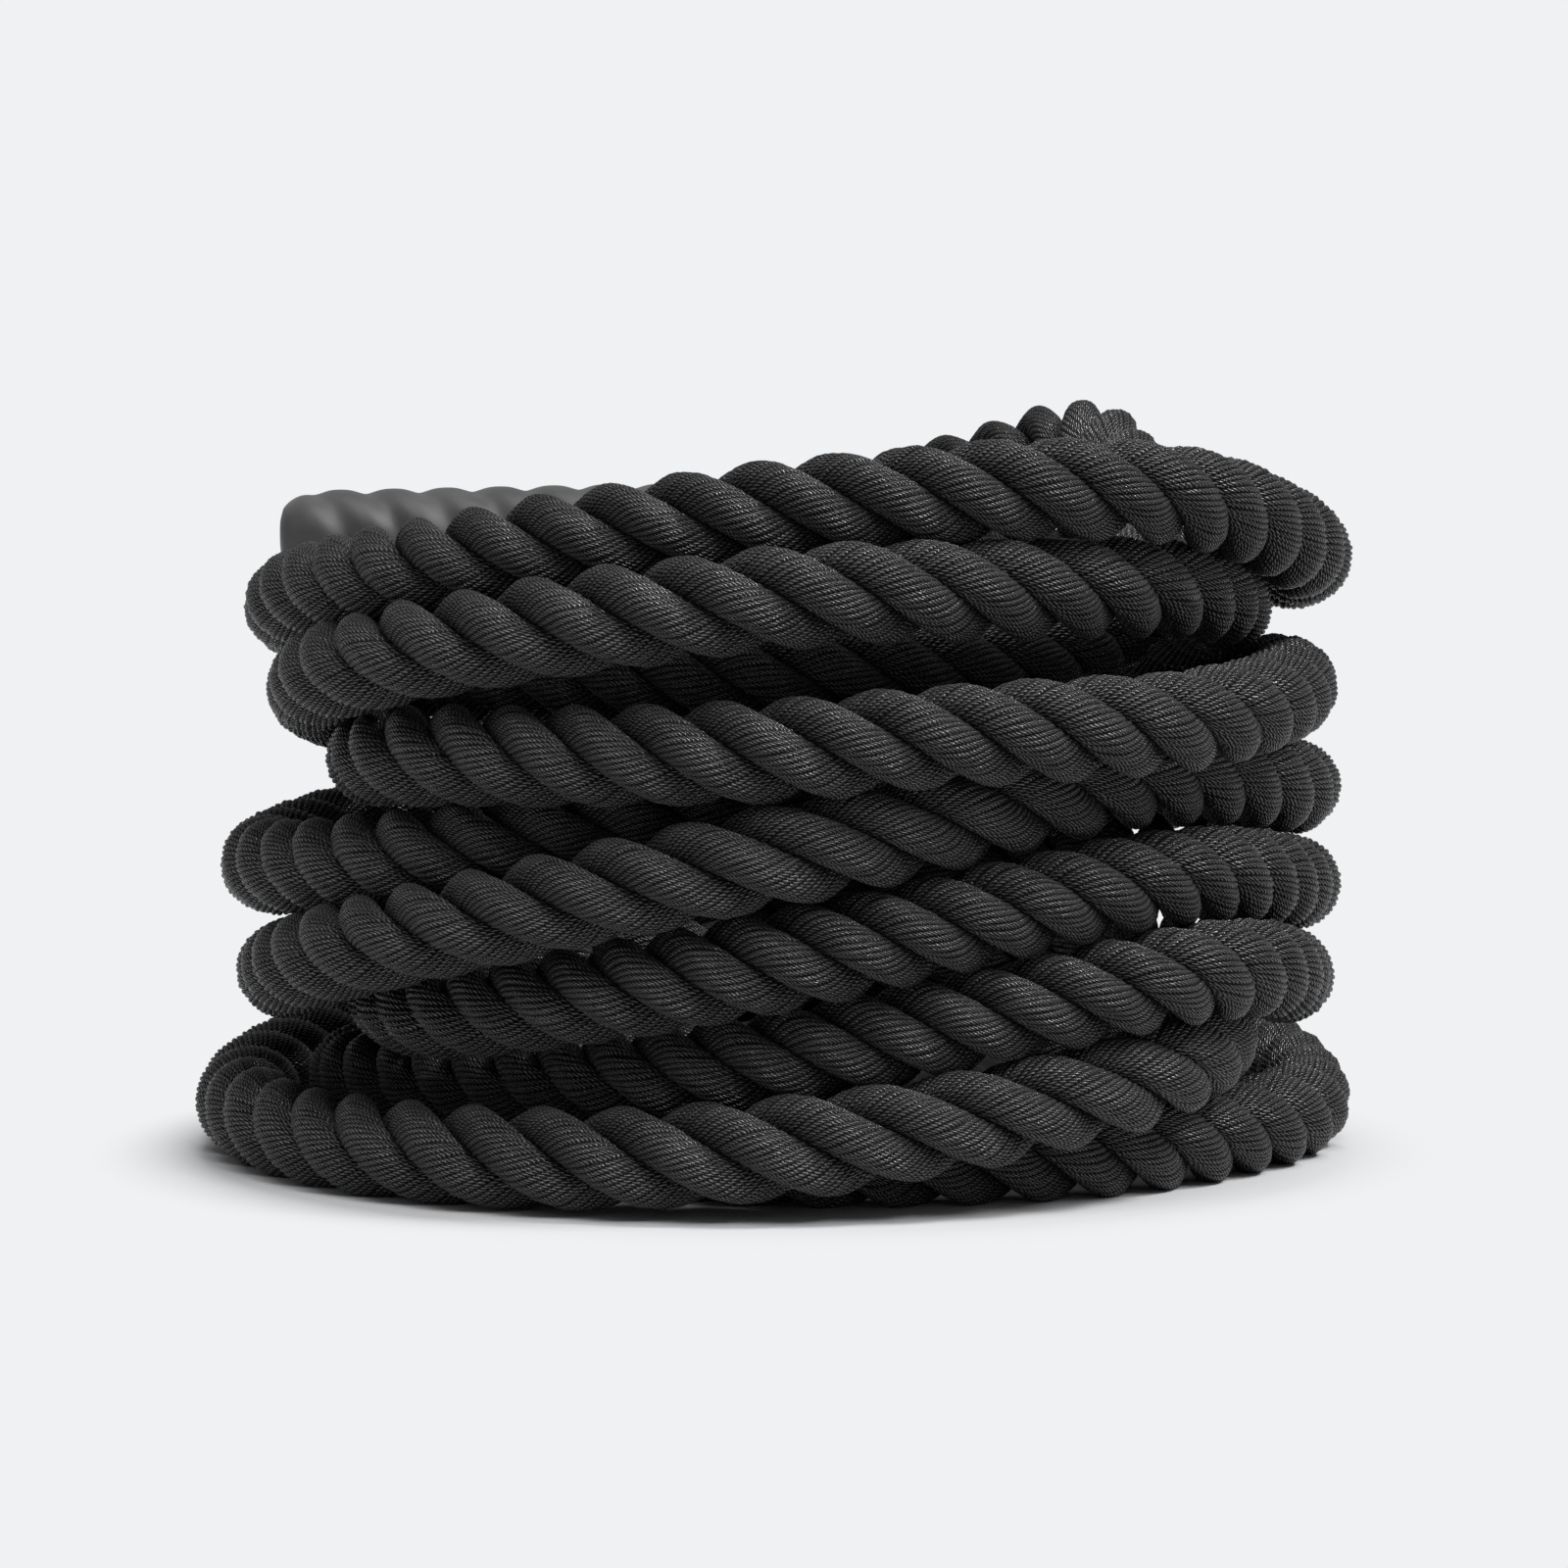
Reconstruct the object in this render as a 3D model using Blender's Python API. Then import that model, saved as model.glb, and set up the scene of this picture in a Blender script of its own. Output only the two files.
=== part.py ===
"""A battle rope: 12 m of 38 mm three-strand rope, coiled for storage, with a sleeved grip at each end.

Units are metres and +Z is up. The coil stands on z = 0 with the Z axis through the middle of its
box. The front of the coil faces -Y, and its upper grip lies on top at the back left.
Run it with: blender --background --python part.py
"""

import math

import bmesh
import bpy
import numpy as np

# Rope. Its tube is as thick as a laid rope counts when turns bed into each other's grooves.
ROPE_DIAMETER = 0.038
GIRTH_SHARE = 0.90
TURN_CLEARANCE = 0.0018

# Coil
COIL_RADIUS = 0.200
FLAT_SHARE = 0.1
STATIONS_PER_TURN = 8
POINTS_PER_STATION = 3
FIRST_STATION_DEGREES = -135

# Grips
SLEEVE_LENGTH = 0.200
SLEEVE_WALL = 0.0018
SLEEVE_END_THICKNESS = 0.004
SLEEVE_END_ROUND = 0.006
BINDING_LENGTH = 0.036
BINDING_WALL = 0.0010
FIT_GAP = 0.0003
CUTTER_OVERRUN = 0.010

# Blender's bevel resolution gives 4 + 2 * resolution sides, and the tilt turns an edge downwards.
ROPE_RESOLUTION = 1
SLEEVE_RESOLUTION = 4
TILT_DEGREES = 30
WELD_DISTANCE = 0.00001

# Settling of the turns onto each other
SETTLING_ROUNDS = 600
SETTLING_PARTS = 3
GAP_PARTS = 6
PUSH_SHARE = 0.7
CROWDING_POWER = 0.6
RETURN_SHARE = 0.01
SMOOTHING_SHARE = 0.2
PAIRS_EVERY = 10
NEIGHBOUR_POINTS = 6

# The inner end from its tip to the first turn, as shares of the coil's radius (x, y) and of the
# rope's diameter (z): the grip lies inside the coil, just off the floor that the first turn is on.
INNER_END_SHARES = (
    (0.18, -0.44, 0.67), (0.28, -0.32, 0.67), (0.38, -0.12, 0.67), (0.42, 0.12, 0.67), (0.38, 0.37, 0.66),
    (0.20, 0.60, 0.58), (-0.10, 0.66, 0.50), (-0.42, 0.50, 0.48), (-0.62, 0.08, 0.48),
)

# The turns from the floor up, anticlockwise from above. A row is a turn, with stations at the
# front left, front, front right, right, back right, back, back left and left.
TURN_RADIUS_SHARES = (
    (0.61, 0.80, 0.92, 1.06, 1.21, 1.03, 1.15, 1.065),
    (1.00, 1.00, 1.03, 0.84, 0.81, 0.84, 0.86, 0.84),
    (0.74, 0.88, 1.06, 1.00, 0.90, 0.76, 0.73, 0.73),
    (0.88, 0.97, 1.01, 1.03, 0.93, 0.96, 0.96, 0.97),
    (1.03, 1.02, 0.93, 1.04, 1.03, 0.89, 1.01, 1.01),
    (0.92, 0.80, 0.77, 0.79, 0.79, 0.72, 0.76, 0.76),
    (0.94, 1.02, 1.08, 1.01, 0.99, 0.98, 0.97, 0.90),
    (1.01, 1.01, 0.95, 0.89, 0.79, 0.93, 0.95, 0.945),
    (0.91, 0.89, 1.02, 1.05, 1.02, 1.02, 0.90, 0.76),
    (0.79, 0.80, 0.73, 0.72, 0.97),
)

# Heights of the same stations above the floor, as shares of the rope's diameter
TURN_HEIGHT_SHARES = (
    (0.46, 0.46, 0.46, 0.46, 0.74, 0.46, 0.76, 0.50),
    (0.46, 0.66, 1.15, 1.12, 0.76, 0.60, 0.70, 0.76),
    (1.00, 1.44, 2.14, 1.79, 1.84, 1.54, 1.72, 1.79),
    (1.76, 2.40, 3.03, 2.75, 2.80, 2.24, 2.08, 1.89),
    (2.56, 3.58, 4.20, 3.86, 3.59, 3.38, 3.42, 3.06),
    (3.33, 3.84, 4.00, 4.10, 3.92, 3.61, 3.89, 4.08),
    (4.26, 4.34, 4.57, 4.82, 4.62, 4.00, 4.26, 4.79),
    (5.34, 5.95, 6.03, 5.64, 5.08, 4.98, 5.42, 5.70),
    (6.12, 6.63, 6.80, 6.16, 6.20, 5.95, 5.50, 5.20),
    (5.13, 5.08, 5.26, 5.97, 7.36),
)

# The outer end from the last turn to its grip, which then runs straight in this direction
OUTER_END_SHARES = ((0.30, 0.93, 6.86), (-0.14, 0.77, 6.45))
OUTER_GRIP_DIRECTION_SHARES = (-1.0, 0.0, -0.02)
OUTER_GRIP_RUN_SHARE = 0.90
OUTER_GRIP_STEPS = 4

# Radii of the tubes, from the rope outwards
TUBE_RADIUS = GIRTH_SHARE * ROPE_DIAMETER / 2
BORE_RADIUS = TUBE_RADIUS + FIT_GAP
BINDING_RADIUS = BORE_RADIUS + BINDING_WALL
POCKET_RADIUS = BINDING_RADIUS + FIT_GAP
SLEEVE_RADIUS = POCKET_RADIUS + SLEEVE_WALL
FLAT_DEPTH = FLAT_SHARE * ROPE_DIAMETER


def end_points(shares):
    """Places given as shares of the coil's radius and of the rope's diameter."""
    return [(COIL_RADIUS * x, COIL_RADIUS * y, ROPE_DIAMETER * z) for x, y, z in shares]


def turn_points():
    """The stations of every turn, one after another."""
    points = []
    for radius_shares, height_shares in zip(TURN_RADIUS_SHARES, TURN_HEIGHT_SHARES):
        for radius_share, height_share in zip(radius_shares, height_shares):
            angle = math.radians(FIRST_STATION_DEGREES) + math.tau * len(points) / STATIONS_PER_TURN
            radius = COIL_RADIUS * radius_share
            points.append((radius * math.cos(angle), radius * math.sin(angle), ROPE_DIAMETER * height_share))
    return points


def smooth_curve(stations, steps):
    """A Catmull-Rom curve through the stations, with that many points from each one to the next."""
    places = np.array(stations)
    places = np.vstack([2 * places[0] - places[1], places, 2 * places[-1] - places[-2]])
    before, start, end, after = places[:-3, None], places[1:-2, None], places[2:-1, None], places[3:, None]
    t = (np.arange(steps) / steps)[None, :, None]
    slope = end - before
    bend = 2 * before - 5 * start + 4 * end - after
    twist = 3 * start - before - 3 * end + after
    curve = start + (slope * t + bend * t ** 2 + twist * t ** 3) / 2
    return np.vstack([curve.reshape(-1, 3), places[-2]])


def lengths_along(points):
    """The distance from the first point to each point, along the straight runs between them."""
    runs = np.linalg.norm(np.diff(points, axis=0), axis=1)
    return np.concatenate([[0.0], np.cumsum(runs)])


def radii_along(points):
    """The outer radius at each point: the sleeve's on both grips and the rope's between them."""
    along = lengths_along(points)
    to_end = np.minimum(along, along[-1] - along)
    return np.where(to_end < SLEEVE_LENGTH + CUTTER_OVERRUN, SLEEVE_RADIUS, TUBE_RADIUS)


def sample_shares(count, parts):
    """How much of each of the route's points is in every sample, with that many samples to a run."""
    where = np.arange((count - 1) * parts + 1) / parts
    low = np.minimum(where.astype(int), count - 2)
    rows = np.arange(len(where))
    shares = np.zeros((len(where), count))
    shares[rows, low] = 1 - (where - low)
    shares[rows, low + 1] += where - low
    return shares


def close_pairs(points, reach, parts):
    """Pairs of samples within reach of each other, leaving out neighbours along the rope."""
    apart = np.linalg.norm(points[:, None] - points[None], axis=2)
    index = np.arange(len(points))
    return np.nonzero((index[:, None] + NEIGHBOUR_POINTS * parts < index[None]) & (apart < reach))


def settle(route, held):
    """Pushes the turns apart where they press on each other, and smooths how far each part gives way."""
    shares = sample_shares(len(route), SETTLING_PARTS)
    weights = shares.sum(axis=0)[:, None]
    radii = shares @ radii_along(route)
    moved = np.zeros_like(route)
    for settling_round in range(SETTLING_ROUNDS):
        softness = 1 - settling_round / SETTLING_ROUNDS
        samples = shares @ (route + moved)
        if settling_round % PAIRS_EVERY == 0:
            one, two = close_pairs(samples, 3 * SLEEVE_RADIUS, SETTLING_PARTS)
        between = samples[one] - samples[two]
        apart = np.linalg.norm(between, axis=1)
        short = np.clip(radii[one] + radii[two] + TURN_CLEARANCE - apart, 0, None)
        push = between * (short / apart)[:, None]
        pushes = np.zeros_like(samples)
        contacts = np.zeros(len(samples))
        for samples_pushed, sign in ((one, 1), (two, -1)):
            np.add.at(pushes, samples_pushed, sign * push)
            np.add.at(contacts, samples_pushed, short > 0)
        pushes /= np.maximum(1, contacts)[:, None] ** CROWDING_POWER
        moved += PUSH_SHARE * (shares.T @ pushes) / weights
        moved *= 1 - RETURN_SHARE * softness
        middle = (moved[:-2] + moved[2:]) / 2
        moved[1:-1] += SMOOTHING_SHARE * softness * (middle - moved[1:-1])
        moved[:, 2] += np.clip(TUBE_RADIUS - (route + moved)[:, 2], 0, None)
        moved[held] = 0
    return route + moved


def straight_end(points):
    """The route with its first run straight for one rope diameter."""
    heading = points[0] - points[1]
    first = points[1] + heading / np.linalg.norm(heading) * ROPE_DIAMETER
    return np.vstack([first, points[1:]])


def rope_route():
    """The rope's centre line from its inner tip to its outer tip, before the coil is centred."""
    stations = end_points(INNER_END_SHARES) + turn_points() + end_points(OUTER_END_SHARES)
    curve = smooth_curve(stations, POINTS_PER_STATION)
    direction = np.array(OUTER_GRIP_DIRECTION_SHARES)
    direction /= np.linalg.norm(direction)
    runs = np.linspace(0, OUTER_GRIP_RUN_SHARE * SLEEVE_LENGTH, OUTER_GRIP_STEPS + 1)[1:, None]
    route = np.vstack([curve, curve[-1] + runs * direction])
    held_inside = np.arange(POINTS_PER_STATION * 3)
    held_outside = np.arange(len(route) - OUTER_GRIP_STEPS - 2, len(route))
    return straight_end(settle(route, np.concatenate([held_inside, held_outside])))


def least_gap(points):
    """The smallest clear distance between turns, measured on points between the route's own."""
    shares = sample_shares(len(points), GAP_PARTS)
    samples = shares @ points
    radii = shares @ radii_along(points)
    one, two = close_pairs(samples, 3 * SLEEVE_RADIUS, GAP_PARTS)
    return np.min(np.linalg.norm(samples[one] - samples[two], axis=1) - radii[one] - radii[two])


def stretch(points, start, end):
    """The part of a route between two distances from its first point, which may lie before it."""
    along = lengths_along(points)
    heading = (points[0] - points[1]) / np.linalg.norm(points[0] - points[1])
    inside = points[(along > start) & (along < end)]
    ends = []
    for distance in (start, end):
        on_route = np.array([np.interp(distance, along, points[:, axis]) for axis in range(3)])
        ends.append(on_route + heading * max(0.0, -distance))
    return np.vstack([ends[0], inside, ends[1]])


def material(name, colour, roughness):
    """A plain Principled material."""
    made = bpy.data.materials.new(name)
    made.use_nodes = True
    shader = made.node_tree.nodes["Principled BSDF"]
    shader.inputs["Base Color"].default_value = (*colour, 1.0)
    shader.inputs["Roughness"].default_value = roughness
    return made


def tube(name, points, radii, resolution, collection, parent):
    """A closed tube along the points, made a mesh with welded caps."""
    curve = bpy.data.curves.new(name, "CURVE")
    curve.dimensions = "3D"
    curve.twist_mode = "Z_UP"
    curve.bevel_depth = float(max(radii))
    curve.bevel_resolution = resolution
    curve.use_fill_caps = True
    spline = curve.splines.new("POLY")
    spline.points.add(len(points) - 1)
    for spline_point, place, radius in zip(spline.points, points, radii):
        spline_point.co = (*place, 1.0)
        spline_point.radius = float(radius / max(radii))
        spline_point.tilt = math.radians(TILT_DEGREES)
    guide = bpy.data.objects.new(name, curve)
    collection.objects.link(guide)
    guide.parent = parent
    bpy.context.view_layer.update()
    evaluated = guide.evaluated_get(bpy.context.evaluated_depsgraph_get())
    mesh = bpy.data.meshes.new_from_object(evaluated)
    matrix = guide.matrix_world.copy()
    bpy.data.objects.remove(guide)
    weld = bmesh.new()
    weld.from_mesh(mesh)
    bmesh.ops.remove_doubles(weld, verts=weld.verts, dist=WELD_DISTANCE)
    weld.to_mesh(mesh)
    weld.free()
    mesh.name = name
    piece = bpy.data.objects.new(name, mesh)
    collection.objects.link(piece)
    piece.parent = parent
    piece.matrix_world = matrix
    mesh.shade_smooth()
    mesh.set_sharp_from_angle(angle=math.radians(50))
    return piece


def even_tube(name, points, radius, resolution, collection, parent):
    """A tube of one radius."""
    return tube(name, points, [radius] * len(points), resolution, collection, parent)


def hide_cutter(cutter):
    """Marks a cutter as one, in the viewport and in renders."""
    cutter.hide_render = True
    cutter.display_type = "WIRE"


def cut(piece, cutter):
    """Cuts a piece with a Boolean difference that stays on it."""
    hide_cutter(cutter)
    modifier = piece.modifiers.new("cut_by_" + cutter.name, "BOOLEAN")
    modifier.operation = "DIFFERENCE"
    modifier.solver = "EXACT"
    modifier.object = cutter


def floor_cutter(collection):
    """A slab under z = 0 that the coil's lowest turn is cut flat on."""
    bpy.ops.mesh.primitive_cube_add(size=2 * COIL_RADIUS)
    slab = bpy.context.object
    slab.name = "floor_cutter"
    slab.scale = (2, 2, 1)
    slab.location = (0, 0, -COIL_RADIUS)
    for holder in slab.users_collection:
        holder.objects.unlink(slab)
    collection.objects.link(slab)
    return slab


def make_rope(route, looks, parts, cutters, base):
    """The whole rope as one unbroken tube, with its flat underside."""
    rope = even_tube("rope", route, TUBE_RADIUS, ROPE_RESOLUTION, parts, base)
    rope.data.materials.append(looks["rope"])
    cut(rope, floor_cutter(cutters))


def make_binding(name, from_tip, looks, parts, cutters, base):
    """The tape that holds the strands together at a tip of the rope, under the sleeve."""
    taped = stretch(from_tip, 0.0, BINDING_LENGTH)
    binding = even_tube(name, taped, BINDING_RADIUS, ROPE_RESOLUTION, parts, base)
    binding.data.materials.append(looks["binding"])
    bored = stretch(from_tip, -CUTTER_OVERRUN, BINDING_LENGTH + CUTTER_OVERRUN)
    cut(binding, even_tube(name + "_bore", bored, BORE_RADIUS, ROPE_RESOLUTION, cutters, base))


def sleeve_outline(from_tip):
    """The sleeve's points and radii: a rounded closed end past the tip, and then one radius."""
    tip = -FIT_GAP - SLEEVE_END_THICKNESS
    ring_degrees = (0, 30, 60, 90)
    rings = []
    for degrees in ring_degrees:
        angle = math.radians(degrees)
        distance = tip + SLEEVE_END_ROUND * (1 - math.cos(angle))
        radius = SLEEVE_RADIUS - SLEEVE_END_ROUND * (1 - math.sin(angle))
        rings.append((stretch(from_tip, distance, SLEEVE_LENGTH)[0], radius))
    body = stretch(from_tip, tip + SLEEVE_END_ROUND, SLEEVE_LENGTH)[1:]
    points = np.vstack([place for place, radius in rings] + [body])
    radii = [radius for place, radius in rings] + [SLEEVE_RADIUS] * len(body)
    return points, radii


def make_sleeve(name, from_tip, looks, parts, cutters, base):
    """The shrunk-on grip sleeve, closed over the tip, with room inside for the rope and the tape."""
    points, radii = sleeve_outline(from_tip)
    sleeve = tube(name, points, radii, SLEEVE_RESOLUTION, parts, base)
    sleeve.data.materials.append(looks["sleeve"])
    pocket = stretch(from_tip, -FIT_GAP, BINDING_LENGTH + FIT_GAP)
    bored = stretch(from_tip, BINDING_LENGTH / 2, SLEEVE_LENGTH + CUTTER_OVERRUN)
    cut(sleeve, even_tube(name + "_pocket", pocket, POCKET_RADIUS, ROPE_RESOLUTION, cutters, base))
    cut(sleeve, even_tube(name + "_bore", bored, BORE_RADIUS, ROPE_RESOLUTION, cutters, base))


def main():
    for old in list(bpy.data.objects):
        bpy.data.objects.remove(old)
    parts = bpy.data.collections.new("battle_rope")
    cutters = bpy.data.collections.new("cutters")
    for collection in (parts, cutters):
        bpy.context.scene.collection.children.link(collection)
    looks = {
        "rope": material("rope_fibre", (0.020, 0.021, 0.023), 0.75),
        "sleeve": material("sleeve_plastic", (0.030, 0.031, 0.033), 0.45),
        "binding": material("binding_tape", (0.040, 0.040, 0.042), 0.55),
    }

    route = rope_route()
    middle = (route.min(axis=0) + route.max(axis=0)) / 2
    base = bpy.data.objects.new("coil_base", None)
    base.location = (-middle[0], -middle[1], -FLAT_DEPTH)
    parts.objects.link(base)

    make_rope(route, looks, parts, cutters, base)
    for end_name, from_tip in (("inner", route), ("outer", route[::-1])):
        make_binding(end_name + "_end_binding", from_tip, looks, parts, cutters, base)
        make_sleeve(end_name + "_grip_sleeve", from_tip, looks, parts, cutters, base)
    bpy.context.view_layer.update()

    print("Rope length: %.3f m" % lengths_along(route)[-1])
    print("Least gap of the rope to itself: %.2f mm" % (1000 * least_gap(route)))


main()
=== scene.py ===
"""The battle rope as it is seen: three laid strands of twisted yarn, coiled for storage, and two grips.

Units are metres and +Z is up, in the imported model's frame, whose floor is z = 0.
"""

import math

import bpy
import numpy as np
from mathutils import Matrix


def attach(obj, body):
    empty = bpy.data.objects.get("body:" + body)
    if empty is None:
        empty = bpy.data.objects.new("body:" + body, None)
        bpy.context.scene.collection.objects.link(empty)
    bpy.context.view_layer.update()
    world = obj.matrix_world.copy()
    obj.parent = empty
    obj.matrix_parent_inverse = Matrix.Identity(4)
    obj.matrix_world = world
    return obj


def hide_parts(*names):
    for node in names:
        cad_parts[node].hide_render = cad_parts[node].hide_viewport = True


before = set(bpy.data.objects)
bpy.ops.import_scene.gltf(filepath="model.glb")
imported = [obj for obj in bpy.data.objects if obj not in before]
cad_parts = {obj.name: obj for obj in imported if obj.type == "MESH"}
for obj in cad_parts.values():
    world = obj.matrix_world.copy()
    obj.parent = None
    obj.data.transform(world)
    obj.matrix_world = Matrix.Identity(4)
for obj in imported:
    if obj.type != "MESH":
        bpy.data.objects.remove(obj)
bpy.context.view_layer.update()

# Rope and coil, as in the part's source
ROPE_DIAMETER = 0.038
GIRTH_SHARE = 0.90
TURN_CLEARANCE = 0.0018
COIL_RADIUS = 0.200
FLAT_SHARE = 0.1
STATIONS_PER_TURN = 8
POINTS_PER_STATION = 3
FIRST_STATION_DEGREES = -135
SLEEVE_LENGTH = 0.200
SLEEVE_WALL = 0.0018
BINDING_LENGTH = 0.036
BINDING_WALL = 0.0010
FIT_GAP = 0.0003
SLEEVE_MARGIN = 0.010

# Settling of the turns onto each other, as in the part's source
SETTLING_ROUNDS = 600
SETTLING_PARTS = 3
PUSH_SHARE = 0.7
CROWDING_POWER = 0.6
RETURN_SHARE = 0.01
SMOOTHING_SHARE = 0.2
PAIRS_EVERY = 10
NEIGHBOUR_POINTS = 6

# The route of the part's source, in shares: the inner end, the turns from the floor up, the outer end
INNER_END_SHARES = (
    (0.18, -0.44, 0.67), (0.28, -0.32, 0.67), (0.38, -0.12, 0.67), (0.42, 0.12, 0.67), (0.38, 0.37, 0.66),
    (0.20, 0.60, 0.58), (-0.10, 0.66, 0.50), (-0.42, 0.50, 0.48), (-0.62, 0.08, 0.48),
)
TURN_RADIUS_SHARES = (
    (0.61, 0.80, 0.92, 1.06, 1.21, 1.03, 1.15, 1.065),
    (1.00, 1.00, 1.03, 0.84, 0.81, 0.84, 0.86, 0.84),
    (0.74, 0.88, 1.06, 1.00, 0.90, 0.76, 0.73, 0.73),
    (0.88, 0.97, 1.01, 1.03, 0.93, 0.96, 0.96, 0.97),
    (1.03, 1.02, 0.93, 1.04, 1.03, 0.89, 1.01, 1.01),
    (0.92, 0.80, 0.77, 0.79, 0.79, 0.72, 0.76, 0.76),
    (0.94, 1.02, 1.08, 1.01, 0.99, 0.98, 0.97, 0.90),
    (1.01, 1.01, 0.95, 0.89, 0.79, 0.93, 0.95, 0.945),
    (0.91, 0.89, 1.02, 1.05, 1.02, 1.02, 0.90, 0.76),
    (0.79, 0.80, 0.73, 0.72, 0.97),
)
TURN_HEIGHT_SHARES = (
    (0.46, 0.46, 0.46, 0.46, 0.74, 0.46, 0.76, 0.50),
    (0.46, 0.66, 1.15, 1.12, 0.76, 0.60, 0.70, 0.76),
    (1.00, 1.44, 2.14, 1.79, 1.84, 1.54, 1.72, 1.79),
    (1.76, 2.40, 3.03, 2.75, 2.80, 2.24, 2.08, 1.89),
    (2.56, 3.58, 4.20, 3.86, 3.59, 3.38, 3.42, 3.06),
    (3.33, 3.84, 4.00, 4.10, 3.92, 3.61, 3.89, 4.08),
    (4.26, 4.34, 4.57, 4.82, 4.62, 4.00, 4.26, 4.79),
    (5.34, 5.95, 6.03, 5.64, 5.08, 4.98, 5.42, 5.70),
    (6.12, 6.63, 6.80, 6.16, 6.20, 5.95, 5.50, 5.20),
    (5.13, 5.08, 5.26, 5.97, 7.36),
)
OUTER_END_SHARES = ((0.30, 0.93, 6.86), (-0.14, 0.77, 6.45))
OUTER_GRIP_DIRECTION_SHARES = (-1.0, 0.0, -0.02)
OUTER_GRIP_RUN_SHARE = 0.90
OUTER_GRIP_STEPS = 4

# Radii of the part's tubes
TUBE_RADIUS = GIRTH_SHARE * ROPE_DIAMETER / 2
SLEEVE_RADIUS = TUBE_RADIUS + FIT_GAP + BINDING_WALL + FIT_GAP + SLEEVE_WALL
FLAT_DEPTH = FLAT_SHARE * ROPE_DIAMETER

# Strands: round, and flattened where the three lie against each other
STRANDS = 3
STRAND_RADIUS = 0.0102
STRAND_OFFSET = 0.0088
STRAND_GAP = 0.00015
STRAND_EDGE_ROUND = 0.0012
FLAT_FACING_SHARE = 0.2
RING_STEP = 0.003
PATH_PARTS = 12

# Pressing: how near two turns count as touching, the route's usual step, and the gap to the floor
TOUCH_REACH = 0.002
ROUTE_POINT_STEP = 0.030
FLOOR_GAP = 0.0002

# The lay's pitch: at the inner tip, at each turn's front and back from the floor up, at the outer tip
INNER_LAY_PITCH = 0.0677
TURN_LAY_PITCHES = (
    (0.0796, 0.0935), (0.0916, 0.0814), (0.0725, 0.0715), (0.0705, 0.0790), (0.0860, 0.0845),
    (0.0835, 0.0825), (0.0850, 0.0845), (0.0865, 0.0880), (0.0830, 0.0840), (0.0840, 0.0680),
)
OUTER_LAY_PITCH = 0.069

# Grips: the skin closes over the rope's tip in a rounded end, and the strands narrow inside it
END_CAP = 0.0043
END_ROUND = 0.024
END_ROUND_POWER = 2.4
END_FACE_SHARE = 0.45
STRAND_SQUEEZE = 0.95
SQUEEZE_INSIDE = 0.010
SQUEEZE_OUTSIDE = 0.020
SKIN_INSET = 0.0003
SKIN_DIP = 0.0021
SKIN_DIP_START = 0.004
SKIN_DIP_END = 0.020
SKIN_DIP_POWER = 1.5
TAPE_THICKNESS = 0.0007

# How finely the skins and the tapes are drawn: points round them, and rings along them
SKIN_COLUMNS = 96
OUTER_SKIN_RINGS = 180
INNER_SKIN_RINGS = 120
TAPE_RINGS = 40

# Yarns: they wind round each strand against the lay, so that they run nearly along the rope
YARNS_PER_STRAND = 26
YARN_POINTS = 4
YARN_PITCH = 0.040
YARN_PROFILE = (0.0, 0.78, 1.0, 0.78)
YARN_RIDGE = 0.00090
YARN_SWELL = 0.00026
YARN_WANDER_SHARE = 0.20
STRAND_SWELL = 0.00045
SWELL_STEP = 0.016
SWELL_SEED = 11

# Maps for baking: a strand's rows, and the share of the map that stays free beside them
BAKE_ROWS = 15
ROW_MARGIN = 0.02
ROW_END_MARGIN = 0.001
SKIN_MARGIN = 0.01

# Filaments: they wind round each yarn, this far apart along it and this many spacings over its width
FILAMENT_SPACING = 0.00135
FILAMENT_SLANT = -2.2
FILAMENT_CHANCE = 7.0
FILAMENT_WAVER = 1.2
FILAMENT_RELIEF = 0.00036

# Spots of noise for each metre along the yarns, and for each yarn across them
WAVER_SPOTS = 420.0
WAVER_SPOTS_ACROSS = 1.2
PATCH_SPOTS = 30.0
PATCH_SPOTS_ACROSS = 0.35

# Spots of noise and weave for each metre of the grips' skins and tapes
SCUFF_SPOTS = 55.0
PEEL_SPOTS = 900.0
BROAD_SPOTS = 14.0
SKIN_RELIEF = 0.0006
TAPE_WEAVE_SPOTS = 600.0
TAPE_WORN_SPOTS = 120.0
TAPE_RELIEF = 0.0001

# Colours, from the darkest to the lightest spots of each material
# The fibre's darkest colour is also painted shade in the valleys between yarns, and its lightest also
# painted glints on the filaments
FIBRE_DARK_AND_VALLEY_SHADE = (0.003, 0.003, 0.0032)
FIBRE_LIGHT_AND_GLINT = (0.068, 0.066, 0.067)
FUZZ_COLOUR = (0.85, 0.88, 0.95, 1.0)
SLEEVE_DARK = (0.050, 0.050, 0.051)
SLEEVE_LIGHT = (0.115, 0.115, 0.118)
TAPE_DARK = (0.020, 0.020, 0.021)
TAPE_LIGHT = (0.050, 0.050, 0.052)

# Camera, found from the photograph
CAMERA_AT = (0.0042, -1.8781, 0.263)
CAMERA_PITCH_DEGREES = -3.6
CAMERA_LENS = 108.2
CAMERA_SENSOR = 36.0

# The floor's and the backdrop's colour as seen
PALE_COLOUR = (0.871, 0.880, 0.896)

# The floor under the lamps as seen, the floor as it lights the rope, and the world as it lights the rope
FLOOR_SEEN_COLOUR = (0.761, 0.769, 0.783)
FLOOR_LIGHT_COLOUR = (0.30, 0.305, 0.31)
WORLD_LIGHT_COLOUR = (0.19, 0.19, 0.19)
FLOOR_SIZE = 60

# Where the floor's shadow starts to fade out and where it ends, from the coil's middle
SHADOW_FADE_START = COIL_RADIUS + 0.7 * ROPE_DIAMETER
SHADOW_FADE_END = COIL_RADIUS + 2.0 * ROPE_DIAMETER

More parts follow.
